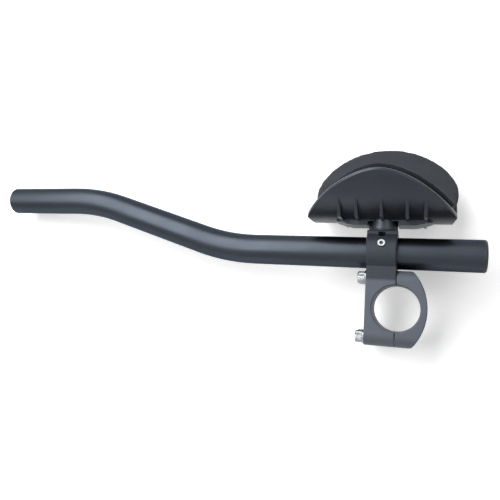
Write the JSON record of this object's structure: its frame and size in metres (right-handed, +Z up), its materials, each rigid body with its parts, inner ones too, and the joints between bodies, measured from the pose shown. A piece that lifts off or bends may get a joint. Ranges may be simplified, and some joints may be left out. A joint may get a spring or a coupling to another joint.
{
  "type": "aero handlebar extension",
  "caption": "Clip-on aero bar: an S-bent extension tube held in a two-piece handlebar clamp, with a padded forearm cup that swivels on a post above it.",
  "frame": {"origin": "middle of the handlebar clamp's bore", "axes": "+Y along the bore towards the rider's outer side, +X rearwards along the bike, +Z up"},
  "size_m": [0.3913, 0.1005, 0.153],
  "materials": {
    "black_tube": "satin black anodised tube",
    "black_forging": "satin black anodised forging",
    "plug_plastic": "black moulded plastic",
    "zinc_steel": "bright zinc plate",
    "black_steel": "black oxide",
    "cup_plastic": "satin charcoal moulding",
    "hook_tape": "black hook tape",
    "loop_tape": "black loop tape",
    "pad_foam": "matt black cloth over foam"
  },
  "bodies": {
    "bracket": {"bracket_body": "black_forging", "clamp_cap": "black_forging", "clamp_bolts": "zinc_steel", "clamp_washers": "zinc_steel", "lower_set_screw": "zinc_steel", "upper_set_screw": "black_steel", "armrest_bolt": "black_steel", "armrest_washer": "zinc_steel"},
    "extension": {"extension_tube": "black_tube", "front_end_plug": "plug_plastic", "rear_end_plug": "plug_plastic"},
    "armrest": {"armrest_cup": "cup_plastic", "hook_patches": "hook_tape", "loop_patches": "loop_tape", "arm_pad": "pad_foam"}
  },
  "joints": [
    {"name": "extension_slide", "type": "slide", "parent": "bracket", "child": "extension", "axis": [1, 0, 0], "range_m": [-0.04, 0.07]},
    {"name": "armrest_swivel", "type": "hinge", "parent": "bracket", "child": "armrest", "pos_m": [-0.0107, 0, 0.06205], "axis": [0, 0, 1], "range_deg": [-30, 30]}
  ]
}
